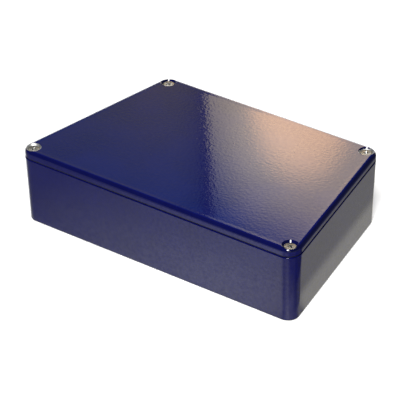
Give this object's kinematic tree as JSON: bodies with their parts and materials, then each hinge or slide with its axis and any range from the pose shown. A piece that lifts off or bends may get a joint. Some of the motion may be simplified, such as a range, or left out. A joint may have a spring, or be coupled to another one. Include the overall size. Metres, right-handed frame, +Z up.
{
  "type": "die-cast electronics enclosure",
  "caption": "Low painted die-cast box with a trapezoidal plan and a flush lid held by countersunk corner screws, for housing electronics.",
  "frame": {"origin": "middle of the bounding box, on the underside of the base", "axes": "+X along the long front wall, +Y from the long front wall to the short back wall, +Z up through the lid"},
  "size_m": [0.185, 0.1146, 0.0465],
  "materials": {
    "base_coat": "gloss powder coat, deep blue",
    "lid_coat": "gloss powder coat, deep blue",
    "screw_metal": "bright zinc plate"
  },
  "bodies": {
    "enclosure_base": {"enclosure_base": "base_coat"},
    "lid": {"lid": "lid_coat"},
    "lid_screw_front_left": {"lid_screw_front_left": "screw_metal"},
    "lid_screw_front_right": {"lid_screw_front_right": "screw_metal"},
    "lid_screw_back_left": {"lid_screw_back_left": "screw_metal"},
    "lid_screw_back_right": {"lid_screw_back_right": "screw_metal"}
  },
  "joints": [
    {"name": "lid_lift", "type": "slide", "parent": "enclosure_base", "child": "lid", "axis": [0, 0, 1], "range_m": [0, 0.06]},
    {"name": "screw_out_front_left", "type": "slide", "parent": "lid", "child": "lid_screw_front_left", "axis": [0, 0, 1], "range_m": [0, 0.02]},
    {"name": "screw_out_front_right", "type": "slide", "parent": "lid", "child": "lid_screw_front_right", "axis": [0, 0, 1], "range_m": [0, 0.02]},
    {"name": "screw_out_back_left", "type": "slide", "parent": "lid", "child": "lid_screw_back_left", "axis": [0, 0, 1], "range_m": [0, 0.02]},
    {"name": "screw_out_back_right", "type": "slide", "parent": "lid", "child": "lid_screw_back_right", "axis": [0, 0, 1], "range_m": [0, 0.02]}
  ]
}
